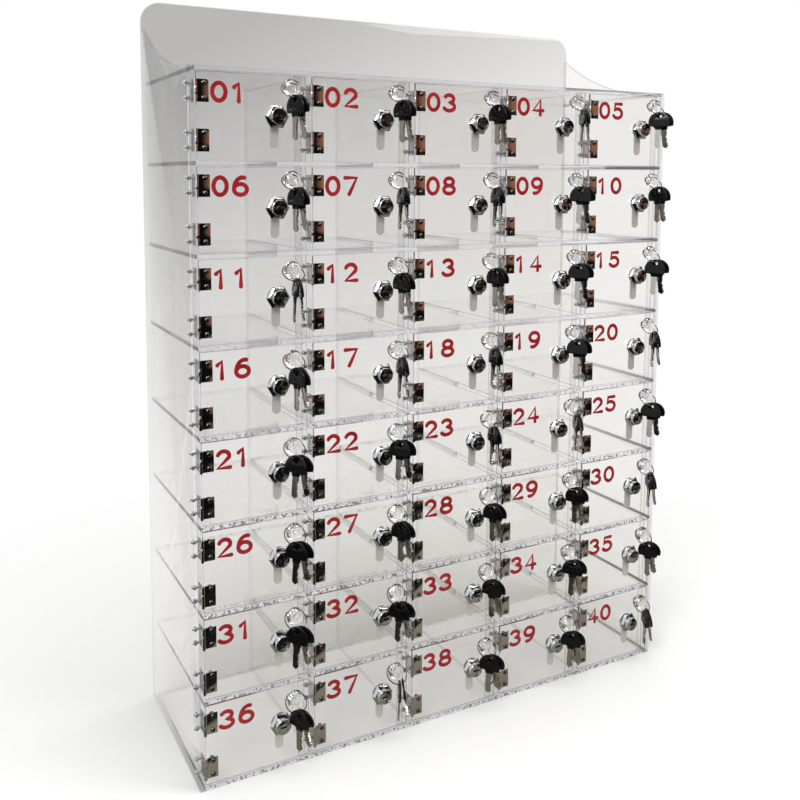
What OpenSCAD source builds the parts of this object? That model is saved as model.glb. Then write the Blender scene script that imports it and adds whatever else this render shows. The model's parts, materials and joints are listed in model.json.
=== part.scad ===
// Cell phone locker box: a clear acrylic cabinet of forty small lockers, five across and
// eight down, each with its own hinged door, cam lock, crystal knob and two keys on a ring.
// The origin is the middle of the footprint at floor level, +Z is up and the doors face -Y.

/* [Case] */
// Distance between the left edges of two neighbouring lockers
col_pitch = 132; // [126:1:170]
// Distance between the tops of two neighbouring lockers
row_pitch = 100; // [96:1:130]
// Depth of the case, back panel included
case_d = 222; // [150:1:300]
// Thickness of the acrylic sheet of the case
wall = 5; // [4:0.5:6]
// Play of a shelf or divider in the slot of the other, on each side
slot_play = 0.1; // [0.05:0.05:0.2]

// Gap between two pieces that are screwed or laid against each other
seat_gap = 0.05; // [0.02:0.01:0.1]

/* [Header] */
// Height of the back panel above the case
header_h = 100; // [75:1:160]
// Radius of the header's two upper corners
header_corner_r = 25; // [5:1:40]
// Rise of each side panel's ear at its back end
ear_rise = 66; // [30:1:70]

/* [Doors] */
// Thickness of a door sheet
door_t = 3; // [3:0.5:4]
// Gap between a door and the shelves above and below it
door_gap_z = 0.8; // [0.5:0.1:1.5]
// Gap between a door and the hinge leaf at its left
door_gap_hinge = 0.7; // [0.5:0.1:1.2]
// Gap between a door and the divider at its right
door_gap_free = 1; // [0.6:0.1:1.6]
// Width of the stop strip behind a door's free edge
stop_w = 8; // [6:0.5:9]
// Thickness of the stop strip
stop_t = 3; // [2:0.5:3]
// Gap between the stop strip and the divider at its right, where hinge nuts stand
stop_offset = 5.4; // [5:0.1:6]
// Gap between a closed door and its stop strip
stop_gap = 0.2; // [0.1:0.05:0.3]

/* [Hinges] */
// Height of a hinge
hinge_h = 24; // [20:0.5:26]
// Distance from a locker's ceiling or floor to the nearer hinge
hinge_inset = 9.5; // [8:0.5:11]
// Width of a hinge leaf from the pin to its edge
leaf_w = 14.6; // [13:0.2:17]
// Thickness of a hinge leaf
leaf_t = 0.8; // [0.6:0.1:1]
// Outer radius of a hinge knuckle
knuckle_r = 1.9; // [1.7:0.1:2.1]
// Radius of a hinge pin
pin_r = 0.95; // [0.8:0.05:1.1]
// Running gap round a hinge pin
pin_gap = 0.05; // [0.03:0.01:0.1]
// Gap between two knuckles along the pin
knuckle_gap = 0.2; // [0.1:0.05:0.4]
// Gap between a knuckle and the front edge of the divider behind it
knuckle_standoff = 0.1; // [0.05:0.05:0.3]
// Distance from the pin to the screw holes of the leaf on the door
leaf_hole_x = 9.2; // [8.8:0.2:10]
// Depth in the case of the leaf on the divider
frame_leaf_d = 15; // [14:0.5:18]
// Distance from the case's front to the screw holes of the leaf on the divider
frame_hole_y = 10.2; // [9.5:0.1:10.8]
// Distance between a leaf's two screw holes
leaf_hole_pitch = 16; // [13:0.5:17]

/* [Screws] */
// Radius of a screw's shank
screw_r = 1.45; // [1.3:0.05:1.6]
// Gap between a shank and the hole that it passes through
screw_gap = 0.05; // [0.03:0.01:0.1]
// Radius of a screw's domed head
screw_head_r = 2.8; // [2.5:0.1:3]
// Height of a screw's domed head
screw_head_h = 1.7; // [1.4:0.1:2]
// Width of a screw nut across its flats
nut_af = 5.5; // [5:0.1:5.6]
// Thickness of a screw nut
nut_t = 2.4; // [2:0.1:2.6]
// Length of screw that shows beyond its nut
screw_end = 1.8; // [1:0.1:2.2]

/* [Lock] */
// Distance from a locker's left edge to the axis of its lock
lock_x = 96; // [90:0.5:98]
// Distance from a locker's top down to the axis of its lock
lock_drop = 51; // [49:0.5:54]
// Radius of the lock barrel
barrel_r = 9; // [8:0.25:9.5]
// Length of barrel in front of the door
barrel_front = 9.5; // [8:0.5:10]
// Length of barrel behind the door
barrel_back = 3.4; // [3:0.1:4]
// Bevel round the barrel's front rim
barrel_bevel = 0.8; // [0.4:0.1:1.2]
// Radius of the barrel's flange behind the door
flange_r = 11.5; // [10.5:0.5:12]
// Thickness of that flange
flange_t = 1.5; // [1:0.1:2]
// Gap between the barrel and the door or nut round it
barrel_gap = 0.1; // [0.05:0.05:0.2]
// Width of the lock's front nut across its flats
lock_nut_af = 24.5; // [22:0.5:25]
// Thickness of the lock's front nut
lock_nut_t = 3.5; // [3:0.5:4]
// Radius of the turning plug
plug_r = 6.2; // [5.5:0.1:6.4]
// Running gap round the plug
plug_gap = 0.05; // [0.03:0.01:0.1]
// Extra radius of the plug's front rim
plug_rim = 1; // [0.8:0.1:1.2]
// Depth of the plug's front rim
plug_rim_t = 0.9; // [0.6:0.1:1.2]
// Depth of the plug's face below the barrel's rim
plug_recess = 0.2; // [0:0.1:0.4]
// Width and height of the key slot
key_slot = [8.4, 2.2]; // [1:0.1:10]
// Depth of the key slot
key_slot_depth = 7; // [5:0.5:8]
// Reach of the cam from the lock's axis
cam_reach = 34; // [31:0.5:34.5]
// Width of the cam
cam_w = 10; // [8:0.5:10]
// Thickness of the cam
cam_t = 1.8; // [1.5:0.1:2]
// Gap between the cam and the barrel's back end
cam_gap = 0.3; // [0.2:0.05:0.4]
// Side of the square that the cam sits on
square_side = 5; // [4.5:0.1:5.5]
// Gap round that square
square_gap = 0.05; // [0.03:0.01:0.1]

/* [Knob] */
// Distance from a locker's left edge to the axis of its knob
knob_x = 110; // [108:0.5:112]
// Distance from a locker's top down to the axis of its knob
knob_drop = 19.8; // [18:0.2:21]
// Greatest radius of the crystal
knob_r = 9.8; // [9:0.1:10]
// Radius of the knob's neck
neck_r = 4; // [3.5:0.1:4.3]
// Length of the knob's neck
neck_h = 4.5; // [4.5:0.1:5.5]
// Height of the crystal's lower slope
slope_h = 2.5; // [2:0.1:3]
// Height of the crystal's straight girdle
girdle_h = 4; // [3:0.5:5]
// Height of the crystal's upper slope
crown_h = 4; // [3:0.5:5]
// Radius of the crystal's flat front
table_r = 6; // [4:0.5:7]

/* [Keys] */
// Radius of the key ring, to the middle of its wire
ring_r = 12.5; // [12.3:0.1:14]
// Radius of the ring's wire
ring_wire_r = 0.7; // [0.5:0.05:0.8]
// Tilt of the ring away from the door
ring_tilt = 50; // [45:1:52]
// Gap between the ring and the neck that it hangs on
ring_gap = 0.1; // [0.05:0.05:0.2]
// Radius of a key's head
key_head_r = 14; // [12:0.5:14]
// Thickness of a key's head
key_head_t = 2.6; // [2.2:0.1:2.8]
// Radius of the hole in a key's head
key_hole_r = 3.5; // [3.2:0.1:3.8]
// Distance from the hole to the top of the head
key_crown = 5.5; // [5:0.1:6]
// Height of a key's head
key_head_h = 20; // [17:0.5:21]
// Width and height of the collar below the head
key_collar = [10, 4]; // [3:0.5:12]
// Width of a key's blade
blade_w = 7.5; // [6.5:0.5:8]
// Thickness of a key's blade
blade_t = 2; // [1.8:0.1:2.2]
// Length of blade that shows below the collar
blade_l = 25; // [20:1:27]
// Length of blade that is held in the head
blade_root = 8; // [6:0.5:10]
// Play between a key's hole and the wire through it
key_play = 0.3; // [0.2:0.05:0.4]
// Lean of a key, as a share of the angle of its place round the ring
key_lean = 0.6; // [0.4:0.1:1]

/* [Hidden] */
$fn = 48;
columns = 5;
rows = 8;
doors = columns * rows;
case_w = columns * col_pitch + wall;
case_h = rows * row_pitch + wall;
side_d = case_d - wall;
lap_y = side_d / 2;
ear_r = (side_d * side_d + ear_rise * ear_rise) / (2 * ear_rise);

door_x0 = wall + leaf_t + door_gap_hinge;
door_x1 = col_pitch - door_gap_free;
door_top = -wall - door_gap_z;
door_h = row_pitch - wall - 2 * door_gap_z;
stop_x = col_pitch - stop_offset - stop_w;
stop_y = door_t + stop_gap;

pin_x = wall + leaf_t / 2;
pin_y = -knuckle_r - knuckle_standoff;
hinge_zs = [-wall - hinge_inset - hinge_h / 2, -row_pitch + hinge_inset + hinge_h / 2];
knuckle_h = hinge_h / 3;
relief = 0.25;
hole_zs = [for (z = hinge_zs, s = [-1, 1]) z + s * leaf_hole_pitch / 2];
door_hole_x = pin_x + leaf_hole_x;
hole_r = screw_r + screw_gap;
pin_head_t = 0.5;

barrel_end = door_t + barrel_back;
cam_y = barrel_end + cam_gap;
square_y = barrel_end + cam_gap / 2;
cam_screw_head = [4, 1.6];
cam_screw_depth = 3;

ring_top_z = -knob_drop + neck_r + ring_gap + ring_wire_r;
ring_y = -neck_h / 2;

// The two keys of a door hang in one of five ways, one letter a door, row by row: spread and
// edge on to the front left, nearly edge on, part turned, leaning to the right, or flat
// towards the front left.
key_hang = ["PPPSF", "PEEFP", "EPPFF", "PEEFS", "FFESF", "FLLLS", "FFLFL", "LSFFS"];
// Each way is the twist of both keys about the vertical, and the place of each on the ring.
spread = [-24, -4, 16];
edge_on = [-10, -5, 12];
part_turned = [18, -1, 17];
leaning = [28, 0, 19];
flat_on = [38, -6, 17];

// The forty doors are named one by one. The locks of the left-hand column turn.
function two_digits(n) = str(n < 10 ? "0" : "", n);
function door_name(n) = str("door_", two_digits(n));
function plug_name(n) = str("lock_plug_", two_digits(n));
function column_of(n) = (n - 1) % columns;
function row_of(n) = floor((n - 1) / columns);
plug_doors = [for (n = [1 : doors]) if (column_of(n) == 0) n];

acrylic = [0.86, 0.90, 0.92, 0.45];
steel = [0.55, 0.55, 0.53];
chrome = [0.78, 0.80, 0.82];
brass = [0.72, 0.60, 0.36];
crystal = [0.93, 0.95, 0.97, 0.7];
plastic = [0.06, 0.06, 0.07];

// Puts its children in the frame of locker n: x from the left edge, y from the doors' front
// face, and z from the locker's top, so that all of the locker lies below zero.
module at_locker(n) {
    translate([-case_w / 2 + column_of(n) * col_pitch, -case_d / 2, case_h - row_of(n) * row_pitch])
        children();
}

// Moves what is drawn from the case's front lower left corner to the part's origin.
module from_corner() {
    translate([-case_w / 2, -case_d / 2, 0]) children();
}

// Turns what is drawn along +Z to lie along +Y, +X, -X or -Y.
module along_y() {
    rotate([-90, 0, 0]) children();
}
module along_x() {
    rotate([0, 90, 0]) children();
}
module against_x() {
    rotate([0, -90, 0]) children();
}
module against_y() {
    rotate([90, 0, 0]) children();
}

// Fasteners, each along +Z

// A screw whose domed head ends at zero and whose shank runs on through a grip.
module screw(grip) {
    crown_r = 0.55 * screw_head_r;
    shoulder_r = 0.9 * screw_head_r;
    translate([0, 0, -screw_head_h])
        cylinder(r1 = crown_r, r2 = shoulder_r, h = screw_head_h / 2, $fn = 24);
    translate([0, 0, -screw_head_h / 2])
        cylinder(r1 = shoulder_r, r2 = screw_head_r, h = screw_head_h / 2, $fn = 24);
    cylinder(r = screw_r, h = grip, $fn = 24);
}

// A nut that sits on zero.
module nut() {
    difference() {
        cylinder(r = nut_af / sqrt(3), h = nut_t, $fn = 6);
        translate([0, 0, -1]) cylinder(r = hole_r, h = nut_t + 2, $fn = 24);
    }
}

// A hole for a screw through a sheet that starts at zero.
module screw_hole(t) {
    translate([0, 0, -1]) cylinder(r = hole_r, h = t + 2, $fn = 24);
}

// Case

// Holes through the sheet at the left of every locker in one column, for the hinge screws.
module hinge_holes(column) {
    for (row = [0 : rows - 1], z = hole_zs)
        translate([column * col_pitch, frame_hole_y, case_h - row * row_pitch + z])
            along_x() screw_hole(wall);
}

module back_panel() {
    corner_z = case_h + header_h - header_corner_r;
    color(acrylic) from_corner() translate([0, case_d, 0]) against_y() linear_extrude(wall) {
        square([case_w, corner_z]);
        translate([header_corner_r, 0]) square([case_w - 2 * header_corner_r, case_h + header_h]);
        for (x = [header_corner_r, case_w - header_corner_r])
            translate([x, corner_z]) circle(header_corner_r, $fn = 64);
    }
}

// A side panel, whose top edge curves up towards the header.
module side_sheet() {
    rotate([90, 0, 90]) linear_extrude(wall) difference() {
        square([side_d, case_h + ear_rise]);
        translate([0, case_h + ear_r]) circle(ear_r, $fn = 180);
    }
}

module left_side_panel() {
    color(acrylic) from_corner() difference() {
        side_sheet();
        hinge_holes(0);
    }
}

module right_side_panel() {
    color(acrylic) from_corner() translate([case_w - wall, 0, 0]) side_sheet();
}

module level_sheet(z) {
    translate([wall, 0, z]) cube([case_w - 2 * wall, side_d, wall]);
}

module top_panel() {
    color(acrylic) from_corner() level_sheet(case_h - wall);
}

module bottom_panel() {
    color(acrylic) from_corner() level_sheet(0);
}

// Each shelf runs unbroken along the front and is slotted from the back for the dividers.
module shelves() {
    color(acrylic) from_corner() for (k = [1 : rows - 1]) {
        z = case_h - k * row_pitch - wall;
        difference() {
            level_sheet(z);
            for (c = [1 : columns - 1])
                translate([c * col_pitch - slot_play, lap_y - slot_play, z - 1])
                    cube([wall + 2 * slot_play, side_d, wall + 2]);
        }
    }
}

// Each divider is slotted from the front for the shelves and drilled for the hinge screws.
module dividers() {
    color(acrylic) from_corner() for (c = [1 : columns - 1]) difference() {
        translate([c * col_pitch, 0, wall]) cube([wall, side_d, case_h - 2 * wall]);
        for (k = [1 : rows - 1])
            translate([c * col_pitch - 1, -1, case_h - k * row_pitch - wall - slot_play])
                cube([wall + 2, lap_y + 1, wall + 2 * slot_play]);
        hinge_holes(c);
    }
}

// A strip between floor and ceiling stops the door, and the turned cam hooks behind it.
module stop_strips() {
    color(acrylic) for (n = [1 : doors]) at_locker(n)
        translate([stop_x, stop_y, -row_pitch]) cube([stop_w, stop_t, row_pitch - wall]);
}

// Hinges

module knuckle(z) {
    translate([pin_x, pin_y, z - knuckle_h / 2]) cylinder(r = knuckle_r, h = knuckle_h, $fn = 32);
}

module pin_bore(z) {
    translate([pin_x, pin_y, z - hinge_h]) cylinder(r = pin_r + pin_gap, h = 2 * hinge_h, $fn = 32);
}

// The leaf on the sheet at the locker's left, with the upper and lower knuckles.
module frame_leaf(z) {
    cut_h = knuckle_h + 2 * knuckle_gap;
    cut_y = pin_y - knuckle_r - 1;
    difference() {
        union() {
            translate([wall, pin_y, z - hinge_h / 2]) cube([leaf_t, frame_leaf_d - pin_y, hinge_h]);
            for (s = [-1, 1]) knuckle(z + s * knuckle_h);
        }
        translate([pin_x - knuckle_r - 1, cut_y, z - cut_h / 2])
            cube([2 * knuckle_r + 2, relief - cut_y, cut_h]);
        pin_bore(z);
        for (s = [-1, 1])
            translate([wall, frame_hole_y, z + s * leaf_hole_pitch / 2]) along_x() screw_hole(leaf_t);
    }
}

module frame_hinge_leaves() {
    color(steel) for (n = [1 : doors]) at_locker(n) for (z = hinge_zs) frame_leaf(z);
}

// The leaf on the door's front, with the middle knuckle.
module door_leaf(z) {
    front = -seat_gap - leaf_t;
    difference() {
        union() {
            translate([pin_x, front, z - hinge_h / 2]) cube([leaf_w, leaf_t, hinge_h]);
            knuckle(z);
        }
        for (s = [-1, 1])
            translate([pin_x - 1, front - 1, z + s * knuckle_h - knuckle_h / 2])
                cube([knuckle_r + relief + 1, leaf_t + 2, knuckle_h]);
        pin_bore(z);
        for (s = [-1, 1])
            translate([door_hole_x, front, z + s * leaf_hole_pitch / 2]) along_y() screw_hole(leaf_t);
    }
}

module hinge_pins() {
    color(chrome) for (n = [1 : doors]) at_locker(n) for (z = hinge_zs)
        translate([pin_x, pin_y, z - hinge_h / 2]) {
            cylinder(r = pin_r, h = hinge_h, $fn = 32);
            for (end = [-pin_head_t, hinge_h])
                translate([0, 0, end]) cylinder(r = knuckle_r - 0.4, h = pin_head_t, $fn = 32);
        }
}

// The screws of the leaf on the left-hand sheet pass through it to nuts on its far face.
module frame_hinge_screws() {
    color(chrome) for (n = [1 : doors]) at_locker(n) for (z = hole_zs)
        translate([wall + leaf_t, frame_hole_y, z]) against_x() screw(leaf_t + wall + nut_t + screw_end);
}

module frame_hinge_nuts() {
    color(chrome) for (n = [1 : doors]) at_locker(n) for (z = hole_zs)
        translate([0, frame_hole_y, z]) against_x() nut();
}

// Doors

module at_lock() {
    translate([lock_x, 0, -lock_drop]) along_y() children();
}

module at_knob() {
    translate([knob_x, 0, -knob_drop]) against_y() children();
}

module door_sheet() {
    color(acrylic) difference() {
        translate([door_x0, 0, door_top - door_h]) cube([door_x1 - door_x0, door_t, door_h]);
        for (z = hole_zs) translate([door_hole_x, 0, z]) along_y() screw_hole(door_t);
        at_lock() translate([0, 0, -1]) cylinder(r = barrel_r + barrel_gap, h = door_t + 2);
        translate([knob_x, 0, -knob_drop]) along_y() screw_hole(door_t);
    }
}

module door_screws() {
    color(chrome) for (z = hole_zs) {
        translate([door_hole_x, -leaf_t - 2 * seat_gap, z])
            along_y() screw(leaf_t + door_t + 3 * seat_gap + nut_t + screw_end);
        translate([door_hole_x, door_t + seat_gap, z]) along_y() nut();
    }
}

// The barrel stands through the door, with its flange behind and a nut in front.
module lock_barrel() {
    rim_bore_r = plug_r + plug_rim + plug_gap;
    color(chrome) at_lock() difference() {
        union() {
            translate([0, 0, -barrel_front])
                cylinder(r1 = barrel_r - barrel_bevel, r2 = barrel_r, h = barrel_bevel);
            translate([0, 0, barrel_bevel - barrel_front])
                cylinder(r = barrel_r, h = barrel_front - barrel_bevel + barrel_end);
            translate([0, 0, door_t + seat_gap]) cylinder(r = flange_r, h = flange_t);
        }
        translate([0, 0, -barrel_front - 1])
            cylinder(r = plug_r + plug_gap, h = barrel_front + barrel_end + 2);
        translate([0, 0, -barrel_front - 1])
            cylinder(r = rim_bore_r, h = 1 + plug_recess + plug_rim_t + plug_gap);
    }
}

module lock_nut() {
    color(chrome) at_lock() translate([0, 0, -seat_gap - lock_nut_t]) difference() {
        cylinder(r = lock_nut_af / sqrt(3), h = lock_nut_t, $fn = 6);
        translate([0, 0, -1]) cylinder(r = barrel_r + barrel_gap, h = lock_nut_t + 2);
    }
}

// The plug turns in the barrel. It has the key slot in front and a square behind.
module plug() {
    front = plug_recess - barrel_front;
    square_end = cam_y + cam_t;
    color(brass) at_lock() difference() {
        union() {
            translate([0, 0, front]) cylinder(r = plug_r + plug_rim, h = plug_rim_t);
            translate([0, 0, front]) cylinder(r = plug_r, h = square_y - front);
            translate([-square_side / 2, -square_side / 2, square_y - 1])
                cube([square_side, square_side, square_end - square_y + 1]);
        }
        translate([-key_slot[0] / 2, -key_slot[1] / 2, front - 1])
            cube([key_slot[0], key_slot[1], key_slot_depth + 1]);
        translate([0, 0, square_end - cam_screw_depth - 0.5])
            cylinder(r = hole_r, h = cam_screw_depth + 1.5, $fn = 24);
    }
}

// The cam points down when the lock is open and turns a quarter to the right to lock.
module cam() {
    hole_side = square_side + 2 * square_gap;
    color(chrome) at_lock() translate([0, 0, cam_y]) difference() {
        union() {
            cylinder(r = cam_w / 2, h = cam_t);
            translate([-cam_w / 2, 0, 0]) cube([cam_w, cam_reach - cam_w / 2, cam_t]);
            translate([0, cam_reach - cam_w / 2, 0]) cylinder(r = cam_w / 2, h = cam_t);
        }
        translate([-hole_side / 2, -hole_side / 2, -1]) cube([hole_side, hole_side, cam_t + 2]);
    }
}

module cam_screw() {
    color(chrome) at_lock() translate([0, 0, cam_y + cam_t + seat_gap]) {
        cylinder(r = cam_screw_head[0], h = cam_screw_head[1]);
        translate([0, 0, -cam_screw_depth]) cylinder(r = screw_r, h = cam_screw_depth + 1, $fn = 24);
    }
}

module lock_plug() {
    plug();
    cam();
    cam_screw();
}

// The cut-glass knob on its neck, with a blind hole for the screw from behind the door.
module knob() {
    girdle = neck_h + slope_h;
    color(crystal) at_knob() translate([0, 0, seat_gap]) difference() {
        union() {
            cylinder(r = neck_r, h = neck_h);
            translate([0, 0, neck_h]) cylinder(r1 = neck_r, r2 = knob_r, h = slope_h);
            translate([0, 0, girdle]) cylinder(r = knob_r, h = girdle_h);
            translate([0, 0, girdle + girdle_h]) cylinder(r1 = knob_r, r2 = table_r, h = crown_h);
        }
        translate([0, 0, -1]) cylinder(r = hole_r, h = neck_h + slope_h + 1, $fn = 24);
    }
}

module knob_screw() {
    length = door_t + seat_gap + neck_h + slope_h - 1;
    color(chrome) translate([knob_x, door_t + seat_gap, -knob_drop]) against_y() screw(length);
}

// Puts its children on the wire at a given angle round from the ring's lowest point, leaning
// to the same side by a share of that angle, because their weight draws them upright.
module at_ring_foot(angle) {
    translate([knob_x, ring_y, ring_top_z]) rotate([-ring_tilt, 0, 0]) translate([0, 0, -ring_r])
        rotate([0, -angle, 0]) translate([0, 0, -ring_r]) rotate([0, angle, 0])
        rotate([ring_tilt, 0, 0]) rotate([0, -key_lean * angle, 0]) children();
}

module key_ring() {
    color(steel) translate([knob_x, ring_y, ring_top_z]) rotate([-ring_tilt, 0, 0])
        translate([0, 0, -ring_r]) rotate([90, 0, 0])
            rotate_extrude($fn = 64) translate([ring_r, 0]) circle(ring_wire_r, $fn = 16);
}

// How far a key's hole hangs below the wire, for the key's twist and its place on the ring. The
// wire turns away from the front with its place, which takes its share off the twist.
function key_drop(twist, place) =
    let (angle = twist - place * sin(ring_tilt))
    let (side = key_head_t / 2 * tan(abs(angle)))
    let (room = key_hole_r - ring_wire_r / cos(angle))
    sqrt(room * room - side * side) - pow(key_head_t / cos(angle), 2) / (8 * ring_r) - key_play;

// A key's outline is drawn in the XY plane with its hole at the origin, and stood up on edge.
module stand_up(t) {
    rotate([90, 0, 90]) translate([0, 0, -t / 2]) linear_extrude(t) children();
}

module key_head() {
    foot = key_crown - key_head_h;
    slot = [blade_w + 2 * seat_gap, blade_root + seat_gap];
    color(plastic) difference() {
        stand_up(key_head_t) difference() {
            union() {
                intersection() {
                    translate([0, key_crown - key_head_r]) circle(key_head_r);
                    translate([-key_head_r, foot]) square([2 * key_head_r, key_head_h]);
                }
                translate([-key_collar[0] / 2, foot - key_collar[1]])
                    square([key_collar[0], key_collar[1] + 1]);
            }
            circle(key_hole_r, $fn = 32);
        }
        stand_up(blade_t + 2 * seat_gap)
            translate([-slot[0] / 2, foot - key_collar[1] - 1]) square([slot[0], slot[1] + 1]);
    }
}

module key_blade() {
    color(chrome) stand_up(blade_t) translate([0, key_crown - key_head_h - key_collar[1]])
        polygon([
            [-blade_w / 2, blade_root], [blade_w / 2, blade_root], [blade_w / 2, 3 - blade_l],
            [blade_w / 6, -blade_l], [-blade_w / 6, -blade_l], [-blade_w / 2, 3 - blade_l]]);
}

module keys(n) {
    letter = key_hang[row_of(n)][column_of(n)];
    hang = letter == "S" ? spread : letter == "E" ? edge_on : letter == "P" ? part_turned
        : letter == "L" ? leaning : flat_on;
    for (place = [1, 2]) at_ring_foot(hang[place])
        rotate([0, 0, hang[0]]) translate([0, 0, -key_drop(hang[0], hang[place])]) {
            key_head();
            key_blade();
        }
}

module door(n) {
    at_locker(n) {
        door_sheet();
        for (z = hinge_zs) color(steel) door_leaf(z);
        door_screws();
        lock_barrel();
        lock_nut();
        if (column_of(n) > 0) lock_plug();
        knob();
        knob_screw();
        key_ring();
        keys(n);
    }
}

back_panel();
left_side_panel();
right_side_panel();
top_panel();
bottom_panel();
shelves();
dividers();
stop_strips();
frame_hinge_leaves();
hinge_pins();
frame_hinge_screws();
frame_hinge_nuts();
for (n = [1 : doors]) door(n);
for (n = plug_doors) at_locker(n) lock_plug();
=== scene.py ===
import json
import math

import bpy
from mathutils import Matrix, Vector

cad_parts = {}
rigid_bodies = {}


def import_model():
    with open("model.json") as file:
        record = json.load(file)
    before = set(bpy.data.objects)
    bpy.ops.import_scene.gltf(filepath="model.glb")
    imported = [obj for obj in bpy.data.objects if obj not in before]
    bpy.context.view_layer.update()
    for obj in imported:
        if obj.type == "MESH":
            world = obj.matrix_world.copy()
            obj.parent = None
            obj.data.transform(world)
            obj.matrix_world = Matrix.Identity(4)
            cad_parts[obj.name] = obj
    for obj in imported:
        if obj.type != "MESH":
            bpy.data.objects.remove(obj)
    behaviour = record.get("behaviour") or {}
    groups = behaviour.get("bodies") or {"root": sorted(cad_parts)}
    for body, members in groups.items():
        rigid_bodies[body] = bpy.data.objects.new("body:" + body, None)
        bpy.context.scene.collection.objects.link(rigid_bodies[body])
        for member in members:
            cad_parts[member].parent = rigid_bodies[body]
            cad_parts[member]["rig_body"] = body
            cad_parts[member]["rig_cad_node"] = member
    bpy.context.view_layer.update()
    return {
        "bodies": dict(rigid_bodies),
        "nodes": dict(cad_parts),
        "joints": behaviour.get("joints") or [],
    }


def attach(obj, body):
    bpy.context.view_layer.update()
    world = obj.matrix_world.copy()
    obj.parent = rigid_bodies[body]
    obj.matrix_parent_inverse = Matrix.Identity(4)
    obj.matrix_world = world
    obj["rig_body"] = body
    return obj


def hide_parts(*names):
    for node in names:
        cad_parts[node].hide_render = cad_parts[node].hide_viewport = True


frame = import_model()
scene = bpy.context.scene

# Camera
# It stands to the left of the case and looks slightly down, level with the second row of
# doors, so that the left side panel shows in a narrow slant and the doors run off to the right.
camera_place = (-0.6006, -1.0750, 0.6879)
camera_turn, camera_tilt, camera_roll = -28.26, 5.11, -0.23
focal_px, axis_px, image_px = 921.9, 260.0, 800.0
camera_angles = (90 - camera_tilt, camera_roll, camera_turn)
bpy.ops.object.camera_add(
    location=camera_place, rotation=[math.radians(angle) for angle in camera_angles])
camera = bpy.context.object
camera.data.sensor_width = 36.0
camera.data.lens = focal_px / image_px * camera.data.sensor_width
camera.data.shift_y = (axis_px - image_px / 2) / image_px
camera.data.clip_start = 0.05
scene.camera = camera


# Floor and studio light
# The case stands on a pale matt top that keeps its shadow and fades into white further out.
# All is white behind it. In front it is dim, with a bright window at the left, wood at the
# right and an olive floor, so metal and glass show these.
def node(tree, kind, inputs=None, **settings):
    """Adds a shader node. An input is a plain value, or another node's output to link."""
    made = tree.nodes.new("ShaderNode" + kind)
    for name, value in settings.items():
        setattr(made, name, value)
    for place, value in (inputs or {}).items():
        if isinstance(value, bpy.types.NodeSocket):
            tree.links.new(value, made.inputs[place])
        else:
            made.inputs[place].default_value = value
    return made


def ramp(tree, factor, *stops):
    """A colour ramp from (place, colour) stops. Returns its colour output."""
    made = node(tree, "ValToRGB", {0: factor})
    while len(made.color_ramp.elements) < len(stops):
        made.color_ramp.elements.new(0.5)
    for element, (place, colour) in zip(made.color_ramp.elements, stops):
        element.position, element.color = place, colour
    return made.outputs[0]


def mix_colour(tree, factor, first, second, blend="MIX"):
    made = node(tree, "Mix", {0: factor, 6: first, 7: second}, data_type="RGBA", blend_type=blend)
    return made.outputs[2]


def scaled(tree, value, low, high, to_low=0.0, to_high=1.0):
    """A value spread from low to high, taken to another span and held there."""
    spans = {0: value, 1: low, 2: high, 3: to_low, 4: to_high}
    return node(tree, "MapRange", spans).outputs[0]


def maths(tree, operation, *values):
    return node(tree, "Math", dict(enumerate(values)), operation=operation).outputs[0]


def parts_of(tree, vector):
    """The X, Y and Z of a place or a direction."""
    return node(tree, "SeparateXYZ", {0: vector}).outputs


def new_material(name):
    material = bpy.data.materials.new(name)
    material.use_nodes = True
    material.node_tree.nodes.clear()
    return material, material.node_tree


def surface(tree, shader):
    node(tree, "OutputMaterial", {"Surface": shader.outputs[0]})


def blended(tree, share, first, second):
    """Two shaders in one, with the second's share."""
    return node(tree, "MixShader", {0: share, 1: first.outputs[0], 2: second.outputs[0]})


def grey(level):
    return (level, level, level, 1.0)


floor_reach, floor_fade = 0.95, 0.45
bpy.ops.mesh.primitive_circle_add(vertices=96, radius=2 * floor_reach, fill_type="NGON")
floor = bpy.context.object
floor.name = "floor"
material, tree = new_material("pale_floor")
place = node(tree, "TexCoord").outputs["Object"]
reach = node(tree, "VectorMath", {0: place}, operation="LENGTH").outputs["Value"]
gone = scaled(tree, reach, floor_reach - floor_fade, floor_reach)
pale, olive = (0.93, 0.93, 0.92, 1), (0.30, 0.28, 0.22, 1)
# What metal shows of the floor in front is olive near the doors and dark further out.
outwards, olive_until, dark_from = (-0.42, -1.0, 0.0), 0.31, 0.37
front_from, front_until = -0.02, -0.10
away = node(tree, "VectorMath", {0: place, 1: outwards}, operation="DOT_PRODUCT").outputs["Value"]
beyond = ramp(tree, away, (olive_until, olive), (dark_from, grey(0.005)))
in_front = scaled(tree, parts_of(tree, place)["Y"], front_from, front_until)
mirror_ray = node(tree, "LightPath").outputs["Is Glossy Ray"]
in_metal = maths(tree, "MULTIPLY", in_front, mirror_ray)
matt = node(tree, "BsdfPrincipled", {
    "Base Color": mix_colour(tree, in_metal, pale, beyond), "Roughness": 0.85,
    "Specular IOR Level": 0.1})
clear = node(tree, "BsdfTransparent")
surface(tree, blended(tree, gone, matt, clear))
floor.data.materials.append(material)

world = bpy.data.worlds.new("studio")
scene.world = world
world.use_nodes = True
tree = world.node_tree
tree.nodes.clear()
path = node(tree, "LightPath").outputs
direction = parts_of(tree, node(tree, "TexCoord").outputs["Generated"])
stone, wood = (0.34, 0.32, 0.26, 1), (0.42, 0.19, 0.115, 1)
dusk, white = grey(0.004), grey(1.0)
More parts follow.
